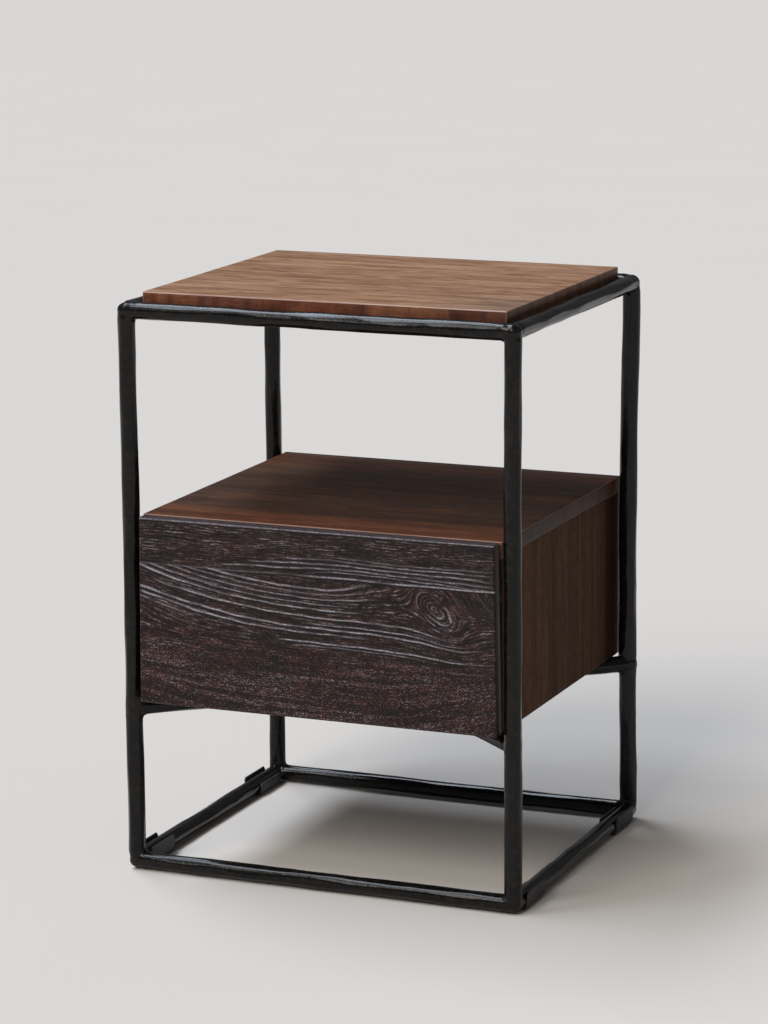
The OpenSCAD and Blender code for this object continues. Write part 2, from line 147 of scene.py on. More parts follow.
def bevelled(name, bm, edges, offset, segments):
    """The finished mesh, with these edges rounded."""
    bmesh.ops.bevel(bm, geom=edges, offset=offset, segments=segments, profile=0.5,
                    affect="EDGES")
    bmesh.ops.recalc_face_normals(bm, faces=bm.faces)
    mesh = bpy.data.meshes.new(name)
    bm.to_mesh(mesh)
    bm.free()
    return mesh


# ---- node materials

class Look:
    """A material's nodes, with short calls for the ones used here."""

    def __init__(self, name, roughness=0.5, **shader):
        self.material = bpy.data.materials.new(name)
        self.material.use_nodes = True
        self.nodes = self.material.node_tree.nodes
        self.links = self.material.node_tree.links
        self.shader = self.nodes["Principled BSDF"]
        self.fill(self.shader, Roughness=roughness, **shader)
        self.coords = self.node("TexCoord").outputs["Object"]
        split = self.node("SeparateXYZ")
        self.links.new(self.coords, split.inputs[0])
        self.axis = dict(zip("xyz", split.outputs))

    def node(self, kind):
        return self.nodes.new("ShaderNode" + kind)

    def fill(self, node, **values):
        for socket, value in values.items():
            node.inputs[socket.replace("_", " ")].default_value = value

    def put(self, socket, value):
        if isinstance(value, bpy.types.NodeSocket):
            self.links.new(value, socket)
        else:
            socket.default_value = value

    def math(self, operation, a, b=0.0, c=0.0):
        node = self.node("Math")
        node.operation = operation
        for socket, value in zip(node.inputs, (a, b, c)):
            self.put(socket, value)
        return node.outputs[0]

    def vector(self, x, y, z):
        node = self.node("CombineXYZ")
        for socket, value in zip(node.inputs, (x, y, z)):
            self.put(socket, value)
        return node.outputs[0]

    def add(self, a, b):
        return self.math("ADD", a, b)

    def scaled(self, value, k):
        return self.math("MULTIPLY", value, k)

    def noise(self, vector, scale=1.0, detail=2.0, rough=0.5, distortion=0.0):
        node = self.node("TexNoise")
        self.put(node.inputs["Vector"], vector)
        self.fill(node, Scale=scale, Detail=detail, Roughness=rough, Distortion=distortion)
        return node.outputs[0]

    def sheet(self, x, y, along, across, layer, *noise):
        """Noise over two axes at two scales. Each layer number gives its own pattern."""
        place = self.vector(self.scaled(x, along), self.scaled(y, across), layer)
        return self.noise(place, 1, *noise)

    def streaks(self, axes, along, across, *noise):
        """Noise drawn out along the first of three axes."""
        g, a, t = axes
        place = self.vector(self.scaled(g, along), self.scaled(a, across), self.scaled(t, across))
        return self.noise(place, 1, *noise)

    def cells(self, vector, scale):
        node = self.node("TexVoronoi")
        self.put(node.inputs["Vector"], vector)
        self.fill(node, Scale=scale)
        return node.outputs["Distance"]

    def random(self, value):
        node = self.node("TexWhiteNoise")
        node.noise_dimensions = "1D"
        self.put(node.inputs["W"], value)
        return node.outputs["Value"]

    def spread(self, value, low, high, to_low=0.0, to_high=1.0):
        node = self.node("MapRange")
        node.clamp = True
        self.put(node.inputs["Value"], value)
        self.fill(node, From_Min=low, From_Max=high, To_Min=to_low, To_Max=to_high)
        return node.outputs["Result"]

    def ramp(self, value, *stops):
        node = self.node("ValToRGB")
        self.put(node.inputs[0], value)
        elements = node.color_ramp.elements
        while len(elements) < len(stops):
            elements.new(0.5)
        for element, (position, colour) in zip(elements, stops):
            element.position = position
            element.color = (*colour, 1)
        return node.outputs[0]

    def mix(self, factor, a, b, blend="MIX"):
        node = self.node("Mix")
        node.data_type = "RGBA"
        node.blend_type = blend
        self.put(node.inputs[0], factor)
        for socket, value in ((node.inputs[6], a), (node.inputs[7], b)):
            self.put(socket, (*value, 1) if isinstance(value, tuple) else value)
        return node.outputs[2]

    def veil(self, colour, noise, low, high, share, other):
        """The colour, drawn to the other one by up to the share as the noise goes low to high."""
        return self.mix(self.spread(noise, low, high, 0.0, share), colour, other)

    def tinted(self, mask, colour, tint):
        """The colour, multiplied by the tint where the mask is 1."""
        return self.mix(mask, colour, self.mix(1.0, colour, tint, "MULTIPLY"))

    def attribute(self, name):
        node = self.node("Attribute")
        node.attribute_name = name
        return node.outputs["Fac"]

    def colour(self, value):
        self.put(self.shader.inputs["Base Color"], value)

    def roughness(self, value):
        self.put(self.shader.inputs["Roughness"], value)

    def bump(self, height, depth, strength=1.0):
        node = self.node("Bump")
        self.fill(node, Strength=strength, Distance=depth)
        self.put(node.inputs["Height"], height)
        normal = self.shader.inputs["Normal"]
        if normal.is_linked:
            self.links.new(normal.links[0].from_socket, node.inputs["Normal"])
        self.links.new(node.outputs[0], normal)


def iron_look():
    """Blackened, waxed wrought iron: dark scale under a glossy wax, with a few rubbed spots."""
    k = Look("blackened_iron", Specular_IOR_Level=0.23)
    broad = k.noise(k.coords, 38, 3, 0.6)
    scale = k.noise(k.coords, 260, 4, 0.65)
    pits = k.cells(k.coords, 420)
    base = k.ramp(broad, (0.3, (0.0028, 0.0026, 0.0025)), (0.55, (0.0052, 0.0047, 0.0044)),
                  (0.75, (0.009, 0.008, 0.0072)))
    patina = k.spread(k.noise(k.coords, 170, 4, 0.65), 0.5, 0.64, 0.0, 0.6)
    base = k.mix(patina, base, (0.019, 0.014, 0.011))
    rubbed = k.spread(k.noise(k.coords, 75, 4, 0.7), 0.64, 0.76)
    k.colour(k.mix(k.scaled(rubbed, 0.5), base, (0.024, 0.023, 0.023)))
    k.roughness(k.add(k.spread(scale, 0.3, 0.7, 0.13, 0.21), k.scaled(rubbed, 0.06)))
    k.bump(k.noise(k.coords, 130, 2, 0.5), 0.26 * MM, 0.45)
    k.bump(k.add(k.scaled(scale, 0.7), k.scaled(pits, 0.3)), 0.035 * MM, 0.4)
    return k.material


PATCH_SHARE = 0.3        # how strongly the cloudy patches tint the wood
SEAM_OUT, SEAM_IN = 0.5 * MM, 0.1 * MM     # the glue line between two boards fades over this


def wood_look(name, order, stave, tones, seed, pore=0.5, roughness=(0.36, 0.52), tint=0.35,
              patch=(0.05, 0.03, 0.03), gloss=0.3, zones=None, worn=None):
    """Stained hardwood boards glued side by side. The order names the axes along the grain,
    across the boards and through them, the stave is a board's width in metres, and the zones
    add what one panel alone shows."""
    k = Look(name, Specular_IOR_Level=gloss)
    g, a, t = (k.axis[i] for i in order)
    place = k.add(k.math("DIVIDE", a, stave), 50.37 + seed)
    board = k.math("FLOOR", place)
    chance = k.random(k.add(board, seed * 7.3))
    shift = k.scaled(chance, 9.0)
    g = k.add(g, shift)
    bend = k.noise(k.vector(k.scaled(g, 5.0), k.scaled(a, 14.0), shift), 1, 2, 0.5)
    a = k.math("MULTIPLY_ADD", bend, 0.022, a)
    axes = (g, a, t)
    rings = k.streaks(axes, 3.0, 85.0, 3, 0.6, 0.5)
    streak = k.streaks(axes, 11.0, 380.0, 3, 0.65)
    fibre = k.streaks(axes, 60.0, 1500.0, 2, 0.6)
    pores = k.spread(k.streaks(axes, 95.0, 1250.0, 1, 0.5), 0.58, 0.68)
    tone = k.add(k.scaled(rings, 0.36), k.scaled(streak, 0.36))
    tone = k.add(tone, k.scaled(fibre, 0.28))
    tone = k.add(tone, k.scaled(k.math("SUBTRACT", chance, 0.5), tint * 0.25))
    dark, middle, light = tones
    colour = k.ramp(tone, (0.38, dark), (0.5, middle), (0.62, light))
    cloud = k.streaks(axes, 7.0, 22.0, 3, 0.55)
    colour = k.veil(colour, cloud, 0.5, 0.72, PATCH_SHARE, patch)
    colour = k.mix(k.scaled(pores, pore), colour, tuple(0.35 * c for c in dark))
    edge = k.math("ABSOLUTE", k.math("SUBTRACT", k.math("FRACT", place), 0.5))
    seam = k.spread(edge, 0.5 - SEAM_OUT / stave, 0.5 - SEAM_IN / stave)
    colour = k.mix(k.scaled(seam, 0.25), colour, tuple(0.5 * c for c in dark))
    if zones:
        colour = zones(k, colour)
    # Wear and painted highlight: rounded edges, the upper front one most, are drawn to the pale
    # worn colour.
    rubbed = k.math("MULTIPLY", k.attribute("arris"), k.spread(cloud, 0.3, 0.6, 0.35, 0.75))
    colour = k.mix(rubbed, colour, worn or tuple(1.35 * c + 0.04 for c in light))
    k.colour(colour)
    k.roughness(k.add(k.spread(streak, 0.3, 0.7, *roughness), k.scaled(pores, 0.12)))
    k.bump(k.math("SUBTRACT", k.scaled(streak, 0.5), k.scaled(pores, 0.8)), 0.1 * MM, 0.5)
    return k.material


def tabletop_zones(k, colour):
    """Broad shifts over the top: greyer by the front right corner, and darker and redder where
    the front face and the right end show cut grain."""
    lo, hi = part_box("tabletop")
    x, y = k.axis["x"], k.axis["y"]
    drift = k.sheet(x, y, 9.0, 26.0, 0.0, 3, 0.6)
    figure = k.sheet(x, y, 16.0, 75.0, 4.0, 4, 0.6, 0.8)
    colour = k.veil(colour, figure, 0.44, 0.64, 0.74, (0.185, 0.074, 0.034))
    fleck = k.sheet(x, y, 55.0, 420.0, 6.0, 3, 0.65)
    colour = k.veil(colour, fleck, 0.54, 0.66, 0.5, (0.13, 0.05, 0.024))
    pale = k.sheet(x, y, 10.0, 55.0, 9.0, 3, 0.6, 0.5)
    colour = k.veil(colour, pale, 0.55, 0.72, 0.4, (0.56, 0.35, 0.225))
    corner = k.add(k.scaled(x, 3.2), k.scaled(y, -3.6))
    corner = k.spread(k.add(corner, k.scaled(drift, 0.6)), 0.95, 1.4, 0.0, 0.6)
    colour = k.mix(corner, colour, (0.15, 0.105, 0.085))
    face = k.spread(y, lo.y + 0.5 * MM, lo.y + 1.7 * MM, 1.0, 0.0)
    wide = k.random(k.math("FLOOR", k.add(k.scaled(x, 27.0), k.scaled(drift, 1.2))))
    slim = k.noise(k.vector(k.scaled(x, 62.0), 0.0, k.scaled(k.axis["z"], 60.0)), 1, 3, 0.6)
    tint = k.ramp(k.add(k.scaled(wide, 0.45), k.math("MULTIPLY_ADD", slim, 1.2, -0.3)),
                  (0.15, (0.24, 0.16, 0.19)), (0.42, (0.47, 0.29, 0.26)),
                  (0.68, (0.62, 0.41, 0.34)), (0.9, (0.8, 0.6, 0.51)))
    face = k.tinted(face, colour, tint)
    end = k.spread(x, hi.x - 0.9 * MM, hi.x - 0.1 * MM)
    return k.mix(end, face, k.mix(1.0, colour, (0.5, 0.4, 0.36), "MULTIPLY"))


def cabinet_top_zones(k, colour):
    """Redder boards along the front and the rear of the cabinet's top, and darker ends. The front
    boards are also painted lighter: painted light where it reaches in under the tabletop.
    """
    lo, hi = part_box("cabinet_top")
    x, y = k.axis["x"], k.axis["y"]
    figure = k.sheet(x, y, 12.0, 60.0, 2.0, 4, 0.6, 0.8)
    colour = k.veil(colour, figure, 0.42, 0.66, 0.55, (0.034, 0.0155, 0.0105))
    glow = k.sheet(x, y, 9.0, 34.0, 7.0, 3, 0.6, 0.5)
    colour = k.veil(colour, glow, 0.55, 0.72, 0.5, (0.15, 0.062, 0.03))
    drift = k.sheet(x, y, 5.0, 30.0, 0.0, 3, 0.6)
    y = k.math("MULTIPLY_ADD", drift, 0.03, y)
    front = k.spread(y, lo.y + 52 * MM, lo.y + 77 * MM, 1.0, 0.0)
    rear = k.spread(y, hi.y - 49 * MM, hi.y - 19 * MM)
    # Painted light: the front boards are made lighter as well as redder, where light reaches in
    # under the tabletop.
    colour = k.tinted(front, colour, (1.95, 1.42, 1.15))
    colour = k.tinted(rear, colour, (1.15, 0.88, 0.76))
    end = k.spread(k.math("ABSOLUTE", x), hi.x - 0.8 * MM, hi.x - 0.2 * MM)
    return k.tinted(end, colour, (0.46, 0.33, 0.25))


def cabinet_side_zones(k, colour):
    """Boards painted darker towards the back, painted shade as of the rear post's shadow, and a
    redder last one.
    """
    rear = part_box("cabinet_side_right")[1].y
    y, z = k.axis["y"], k.axis["z"]
    vein = k.sheet(y, z, 520.0, 26.0, 1.0, 3, 0.6)
    colour = k.veil(colour, vein, 0.5, 0.64, 0.45, (0.02, 0.0095, 0.005))
    fleck = k.sheet(y, z, 700.0, 60.0, 5.0, 1, 0.5)
    colour = k.veil(colour, fleck, 0.6, 0.7, 0.35, (0.17, 0.1, 0.058))
    # Painted shade: the side darkens towards the back, as in the rear post's shadow.
    painted_shade_to_back = k.spread(y, rear - 149 * MM, rear - 39 * MM)
    colour = k.tinted(painted_shade_to_back, colour, (0.7, 0.62, 0.58))
    last = k.spread(y, rear - 41 * MM, rear - 35 * MM)
    return k.tinted(last, colour, (0.45, 0.3, 0.26))


FRONT_LO, FRONT_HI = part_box("drawer_front")
ROUGH_FROM = (98.6, 135.6)         # mm below the front's top edge: the grain turns gritty here


def front_edge_zones(k, colour):
    """The front board's top edge is pale: partly from the brushing that runs over it, and partly
    painted highlight where it faces the light.
    """
    top = FRONT_HI.z
    # Partly brushing and partly painted highlight: the top edge is drawn to a pale bluish grey.
    edge = k.spread(k.axis["z"], top - 1.6 * MM, top - 0.4 * MM, 0.0, 0.85)
    rough = k.sheet(k.axis["x"], k.axis["y"], 160.0, 500.0, 0.0, 2)
    pale = k.ramp(rough, (0.35, (0.03, 0.018, 0.018)), (0.6, (0.105, 0.08, 0.088)))
    return k.mix(edge, colour, pale)


def front_look():
    """Wire-brushed front: dark stained valleys, pale ridges and a reddish undertone. The ridges'
    pale is partly rubbed wax and partly painted highlight.
    The flow attribute, in mm across the grain, carries fine fibres along the carved grain."""
    k = Look("brushed_front_wood", Specular_IOR_Level=0.27)
    ridge, red, line, flow = (k.attribute(n) for n in ("ridge", "red", "line", "flow"))
    x, z = k.axis["x"], k.axis["z"]
    along = k.math("MULTIPLY_ADD", z, -0.35, x)
    fibre = k.sheet(along, flow, 85.0, 0.95, 0.0, 2, 0.6)
    strand = k.sheet(along, flow, 260.0, 1.7, 3.0, 2, 0.6)
    speck = k.noise(k.vector(k.scaled(x, 700.0), 0.0, k.scaled(z, 950.0)), 1, 1, 0.5)
    blot = k.noise(k.vector(k.scaled(x, 45.0), 0.0, k.scaled(z, 110.0)), 1, 3, 0.6)
    detail = k.add(k.scaled(fibre, 0.9), k.scaled(strand, 0.7))
    detail = k.add(detail, k.scaled(speck, 0.5))
    gritty = k.add(k.scaled(strand, 0.75), k.scaled(speck, 1.35))
    top = FRONT_HI.z
    low = k.spread(z, top - ROUGH_FROM[1] * MM, top - ROUGH_FROM[0] * MM, 0.85, 0.0)
    detail = k.math("MULTIPLY_ADD", low, k.math("SUBTRACT", gritty, detail), detail)
    tone = k.add(ridge, k.math("MULTIPLY_ADD", detail, 1.45, -1.55))
    # Painted highlight: the pale bluish top of the ramp brightens the tallest ridges, and partly
    # stands for wax left in them.
    colour = k.ramp(tone, (0.08, (0.0045, 0.0024, 0.0022)), (0.34, (0.0165, 0.0088, 0.0084)),
                    (0.54, (0.05, 0.031, 0.032)), (0.82, (0.25, 0.21, 0.238)))
    warm = k.math("MULTIPLY", red, k.spread(blot, 0.35, 0.65))
    warm_tone = k.ramp(tone, (0.08, (0.01, 0.003, 0.0024)), (0.36, (0.05, 0.016, 0.011)),
                       (0.82, (0.23, 0.12, 0.105)))
    colour = k.mix(k.scaled(warm, 0.75), colour, warm_tone)
    # Painted highlight: the pale lines are drawn to a bluish white, partly wax in the grain and
    # partly the lamps' glint on the ridges.
    colour = k.mix(k.scaled(k.math("MULTIPLY", line, k.spread(speck, 0.3, 0.6, 0.45, 1.0)), 0.85),
                   colour, (0.45, 0.42, 0.48))
    k.colour(colour)
    k.roughness(k.spread(tone, 0.2, 0.9, 0.5, 0.32))
    k.bump(detail, 0.35 * MM, 0.8)
    return k.material


def metal_look(name, colour, roughness):
    """Rolled, zinc-plated steel: fine drawn streaks and a cloudy plating."""
    k = Look(name, Metallic=1.0)
    cloud = k.noise(k.coords, 90, 3, 0.55)
    drawn = k.streaks((k.axis[i] for i in "yxz"), 30.0, 2500.0, 2, 0.5)
    k.colour(k.ramp(cloud, (0.3, tuple(c * 0.82 for c in colour)), (0.7, colour)))
    k.roughness(k.add(k.spread(cloud, 0.3, 0.7, roughness, roughness + 0.12),
                      k.scaled(drawn, 0.08)))
    k.bump(drawn, 0.02 * MM, 0.5)
    return k.material


def moulded_look(name, colour, roughness, bump_mm=0.05):
    """Moulded plastic or rubber with a fine eggshell surface."""
    k = Look(name, Specular_IOR_Level=0.4)
    cloud = k.noise(k.coords, 60, 3, 0.6)
    grain = k.noise(k.coords, 900, 3, 0.6)
    dusty = tuple(min(1.0, 1.25 * c + 0.03) for c in colour)
    k.colour(k.ramp(k.add(k.scaled(cloud, 0.7), k.scaled(grain, 0.3)),
                    (0.35, colour), (0.7, dusty)))
    k.roughness(k.spread(grain, 0.3, 0.7, roughness - 0.06, roughness + 0.08))
    k.bump(grain, bump_mm * MM, 0.6)
    return k.material


IRON = iron_look()
TOP_TONES = ((0.235, 0.11, 0.055), (0.405, 0.22, 0.122), (0.53, 0.318, 0.19))
CASE_TONES = ((0.036, 0.0165, 0.0095), (0.078, 0.038, 0.0215), (0.135, 0.072, 0.042))
SIDE_TONES = ((0.027, 0.011, 0.0043), (0.06, 0.0262, 0.0105), (0.112, 0.054, 0.023))
EDGE_TONES = ((0.014, 0.0075, 0.0055), (0.026, 0.014, 0.01), (0.045, 0.025, 0.018))
BOX_TONES = ((0.3, 0.2, 0.12), (0.42, 0.3, 0.19), (0.53, 0.4, 0.27))
CASE_PATCH = (0.06, 0.036, 0.028)
BOX_PATCH = (0.36, 0.26, 0.17)
TOP_WOOD = wood_look("tabletop_wood_grain", "xyz", 0.092, TOP_TONES, 3.0, pore=0.3, tint=0.2,
                     patch=(0.2, 0.125, 0.095), gloss=0.17, zones=tabletop_zones,
                     worn=(0.66, 0.48, 0.4))
CASE_TOP_WOOD = wood_look("cabinet_top_grain", "xyz", 0.11, CASE_TONES, 11.0, pore=0.4,
                          patch=CASE_PATCH, gloss=0.12, roughness=(0.42, 0.58),
                          zones=cabinet_top_zones, worn=(0.52, 0.34, 0.27))
CASE_WOOD_X = wood_look("cabinet_wood_grain_x", "xyz", 0.11, CASE_TONES, 12.0,
                        patch=CASE_PATCH, gloss=0.15)
CASE_WOOD_Z = wood_look("cabinet_wood_grain_z", "zyx", 0.082, SIDE_TONES, 5.0, pore=0.4, tint=0.3,
                        patch=(0.07, 0.033, 0.016), gloss=0.04, roughness=(0.55, 0.7),
                        zones=cabinet_side_zones)
BACK_WOOD = wood_look("cabinet_back_grain", "xzy", 0.2, CASE_TONES, 17.0, pore=0.4,
                      patch=(0.06, 0.05, 0.045), gloss=0.15)
FRONT_EDGE_WOOD = wood_look("front_board_grain", "xzy", 0.14, EDGE_TONES, 23.0, gloss=0.08,
                            zones=front_edge_zones)
BOX_WOOD_Y = wood_look("drawer_box_grain_y", "yzx", 0.06, BOX_TONES, 31.0, pore=0.35,
                       patch=BOX_PATCH)
BOX_WOOD_X = wood_look("drawer_box_grain_x", "xzy", 0.06, BOX_TONES, 37.0, pore=0.35,
                       patch=BOX_PATCH)
SHEET_WOOD = wood_look("drawer_sheet_grain", "xyz", 0.15, BOX_TONES, 41.0, pore=0.3,
                       patch=(0.38, 0.28, 0.18))
FRONT_WOOD = front_look()
ZINC = metal_look("zinc_plated_steel", (0.58, 0.6, 0.63), 0.26)
BRIGHT_STEEL = metal_look("polished_ball_steel", (0.66, 0.67, 0.69), 0.12)
SCREW_STEEL = metal_look("screw_steel", (0.42, 0.41, 0.36), 0.3)
BLACK_STEEL = metal_look("black_oxide_steel", (0.05, 0.05, 0.055), 0.4)
RUBBER = moulded_look("glide_rubber_black", (0.02, 0.02, 0.021), 0.6, 0.09)
NYLON = moulded_look("moulded_nylon_grey", (0.22, 0.22, 0.23), 0.42)


# ---- hammered iron frame

SEGMENTS = 32            # points round a bar
STATION = 1.7 * MM       # between two rings of points
FILLET = 5.0 * MM        # the weld's size between bars at right angles
OVERLAP = 1.6 * MM       # how far a bar's mesh runs into the next one's share of a weld
JOINT_REACH = 26 * MM    # the weld is worked out this near to another bar's axis
PROUD = 0.7 * MM         # how far the ridges between the flats stand above the bar's own radius
# How far each post wanders to the right at its middle, and how much stouter one of them is
BOWS = {"post_front_left": 1.0 * MM, "post_front_right": -0.6 * MM,
        "post_rear_left": 0.8 * MM, "post_rear_right": -2.4 * MM}
STOUT = {"post_rear_right": 0.5 * MM}
POSTS = ["post_front_left", "post_front_right", "post_rear_left", "post_rear_right"]
RAILS = [level + side for level in ("top_rail_", "base_rail_")
         for side in ("front", "rear", "left", "right")]
CROSS_BARS = {"cross_bar_lower": ("post_front_left", "post_rear_right"),
              "cross_bar_upper": ("post_front_right", "post_rear_left")}


def post_axis(node):
    lo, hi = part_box(node)
    r = (hi.x - lo.x) / 2
    x, y = (lo.x + hi.x) / 2, (lo.y + hi.y) / 2
    return Vector((x, y, lo.z + r)), Vector((x, y, hi.z - r)), r


def level_axis(node):
    """A level bar's axis runs on to the axes of the two posts that it meets."""
    side = node.rsplit("_", 1)[1]
    ends = CROSS_BARS.get(node) or [p for p in POSTS if side in p]
    lo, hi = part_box(node)
    z = (lo.z + hi.z) / 2
    a, b = (post_axis(p)[0] for p in ends)
    return Vector((a.x, a.y, z)), Vector((b.x, b.y, z)), (hi.z - lo.z) / 2


BARS = {n: post_axis(n) for n in POSTS}
BARS.update({n: level_axis(n) for n in (*RAILS, *CROSS_BARS)})


def bar_field(points, bar):
    """Distance from each point to a bar's surface, and the direction away from its axis."""
    a, b, r = bar
    a, b = np.array(a), np.array(b)
    along = b - a
    t = np.clip((points - a) @ along / (along @ along), 0, 1)
    away = points - (a + t[..., None] * along)
    length = np.linalg.norm(away, axis=-1)
    return length - r, away / np.maximum(length, 1e-9)[..., None]


def welded(points, name):
    """The welded frame's surface near one bar: bars joined by a small fillet, with soft lumps."""
    own, own_away = bar_field(points, BARS[name])
    nearest = np.full(own.shape, 1.0)
    surface = own.copy()
    for other, bar in BARS.items():
        if other == name:
            continue
        d, away = bar_field(points, bar)
        nearest = np.minimum(nearest, d)
        open_angle = np.clip(1 - np.sum(own_away * away, axis=-1), 0, 1)
        k = FILLET * open_angle + 1e-6
        u, v = np.maximum(k - own, 0), np.maximum(k - d, 0)
        surface = np.minimum(surface, np.maximum(k, np.minimum(own, d)) - np.hypot(u, v))
    lump = noise3(*(points[..., i] / (6.5 * MM) + 40 for i in range(3)), 5) - 0.45
    near = np.clip(1 - nearest / (11 * MM), 0, 1)
    return surface - 1.1 * MM * lump * near, own - nearest


def hammer_dents(s, theta, length, r, seed):
    """Depth of the long, overlapping flats that a hammer leaves round the bar."""
    rng = np.random.default_rng(seed)
    count = int(length / (4.8 * MM))
    at = rng.uniform(-10 * MM, length + 10 * MM, count)
    turn = (np.arange(count) * 2.4 + rng.uniform(-0.5, 0.5, count)) % math.tau
    depth = rng.uniform(0.3, 0.85, count) * MM
    sweep = rng.uniform(0.35, 1.7, count)
    skew = rng.uniform(-0.016, 0.016, count)
    radius = np.full((len(s), len(theta)), r)
    for k in range(count):
        rows = np.abs(s - at[k]) < 60 * MM
        off = s[rows] - at[k]
        cos = np.cos(theta - turn[k])[None, :]
        flat = r - depth[k] + off ** 2 / (2 * sweep[k]) + skew[k] * off
        hit = np.where(cos > 0.3, flat[:, None] / np.maximum(cos, 0.3), r)
        radius[rows] = np.minimum(radius[rows], hit)
    around = (np.roll(radius, 1, 1) + np.roll(radius, -1, 1)) / 2
    return r - (0.9 * radius + 0.1 * around)


def bar_radii(name, origin, away):
    """How far out the welded surface lies from the bar's axis, from the station points on the
    axis and the directions round it."""
    radii = np.full((len(origin), len(away)), BARS[name][2])
    close = np.zeros(len(origin), bool)
    for other, bar in BARS.items():
        if other != name:
            close |= bar_field(origin, bar)[0] < JOINT_REACH - bar[2]
    reach = np.arange(0.3, 17, 0.3) * MM
    for i in np.nonzero(close)[0]:
        points = origin[i] + reach[:, None, None] * away
        surface, lead = welded(points, name)
        stop = np.maximum(surface, lead - OVERLAP)
        outside = stop > 0
        first = np.argmax(outside, axis=0)
        first = np.where(outside.any(axis=0), first, len(reach) - 1)
        cols = np.arange(len(away))
        high = stop[first, cols]
        low = np.where(first > 0, stop[np.maximum(first - 1, 0), cols], -1)
        share = np.clip(low / np.minimum(low - high, -1e-9), 0, 1)
        root = reach[np.maximum(first - 1, 0)] + share * (reach[1] - reach[0])
        radii[i] = np.where(first == 0, 0.05 * MM, root)
    return radii


def bow(name, z):
    """How far a hand-straightened post wanders sideways between the cabinet's bars and the top."""
    if name not in BOWS:
        return 0
    foot = "base_rail_rear" if name == "post_rear_right" else "cross_bar_lower"
    low, high = BARS[foot][0].z, BARS["top_rail_front"][0].z
    share = np.clip((z - low) / (high - low), 0, 1)
    return BOWS[name] * np.sin(share * math.pi) ** 1.3


def round_directions(along, theta):
    """Directions away from an axis, one for each angle round it."""
    helper = (0, 0, 1) if abs(along[2]) < 0.9 else (1, 0, 0)
    side = np.cross(along, helper)
    side /= np.linalg.norm(side)
    top = np.cross(side, along)
    return np.cos(theta)[:, None] * side + np.sin(theta)[:, None] * top


def iron_bar(name, seed):
    """One hammered bar with round ends, welded where it meets the others."""
    a, b, r = BARS[name]
    length = (b - a).length
    along = np.array((b - a).normalized())
    theta = np.linspace(0, math.tau, SEGMENTS, endpoint=False)
    away = round_directions(along, theta)
    count = max(8, int(length / STATION))
    cap = -r * np.cos(np.linspace(0, math.pi / 2, 7)[:-1])
    s = np.concatenate((cap, np.linspace(0, length, count), length - cap[::-1]))
    origin = np.array(a) + s[:, None] * along
    radii = bar_radii(name, origin, away)
    beyond = np.maximum(np.maximum(-s, s - length), 0)
    cap_r = np.sqrt(np.maximum(r * r - beyond ** 2, 0))
    radii = np.where(beyond[:, None] > 0, np.minimum(radii, cap_r[:, None] + 1.2 * MM), radii)
    radii[0] = radii[-1] = 0.02 * MM
    calm = np.clip((np.abs(radii - r) - 0.6 * MM) / MM, 0, 1)
    ends = smoothstep(2 * MM, 9 * MM, np.minimum(s, length - s))
    dents = hammer_dents(s, theta, length, r, seed) - PROUD - STOUT.get(name, 0)
    radii = radii - dents * (1 - calm) * ends[:, None]
    origin[:, 0] += bow(name, origin[:, 2])
    verts = (origin[:, None, :] + radii[..., None] * away).reshape(-1, 3)
    mesh = mesh_from("hammered_" + name, verts, tube_faces(len(s), SEGMENTS))
    add_piece("hammered_" + name, mesh, IRON, "base", (name,), 55)


for bar_index, bar_name in enumerate(BARS):
    iron_bar(bar_name, 100 + bar_index)


# ---- boards

def arris_wear_and_highlight(normal):
    """How pale a facet of a board is made: the rounded upper front edge most, partly as handling
    wear and partly as painted highlight where it faces the light.
    """
    if max(abs(t) for t in normal) > 0.985:
        return 0.0
    return 1.0 if normal.y < -0.15 and normal.z > 0.15 else 0.3


CELL = 14 * MM           # a board is cut into cells of about this size


def eased_board(node, name, material, body, slot, seed, ease, wear):
    """A board with softly eased, slightly worn edges, cut into cells so the edges can wander."""
    lo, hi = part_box(node)
    size = hi - lo
    counts = [max(1, round(size[i] / CELL)) for i in range(3)]
    bm = bmesh.new()
    bmesh.ops.create_cube(bm, size=1.0)
    for v in bm.verts:
        v.co = Vector([lo[i] + (v.co[i] + 0.5) * size[i] for i in range(3)])
    for axis in range(3):
        for n in range(1, counts[axis]):
            at = Vector(lo)
            at[axis] = lo[axis] + size[axis] * n / counts[axis]
            normal = Vector([float(i == axis) for i in range(3)])
            geometry = bm.verts[:] + bm.edges[:] + bm.faces[:]
            bmesh.ops.bisect_plane(bm, geom=geometry, plane_co=at, plane_no=normal)
    sharp = sharp_edges(bm, 1.0)
    worn = {v for e in sharp for v in e.verts}
    for v in worn:
        c = np.array([[t] for t in v.co]) / (26 * MM)
        for i in range(3):
            if min(abs(v.co[i] - lo[i]), abs(v.co[i] - hi[i])) < 1e-6:
                n = float(noise3(c[0] + 9 * i, c[1] + 5, c[2] + 7, seed)[0])
                inward = 1 if v.co[i] < (lo[i] + hi[i]) / 2 else -1
                v.co[i] += inward * wear * n
    mesh = bevelled(name, bm, sharp, ease, 3)
    # Partly wear, partly painted highlight on the arris that faces up and to the front.
    wear_and_highlight_share = [arris_wear_and_highlight(p.normal) for p in mesh.polygons]
    mesh.attributes.new("arris", "FLOAT", "FACE").data.foreach_set("value", wear_and_highlight_share)
    add_piece(name, mesh, material, body, (node,))


CASE, BOX = ("base", "cabinet_wood"), ("drawer", "drawer_box_wood")
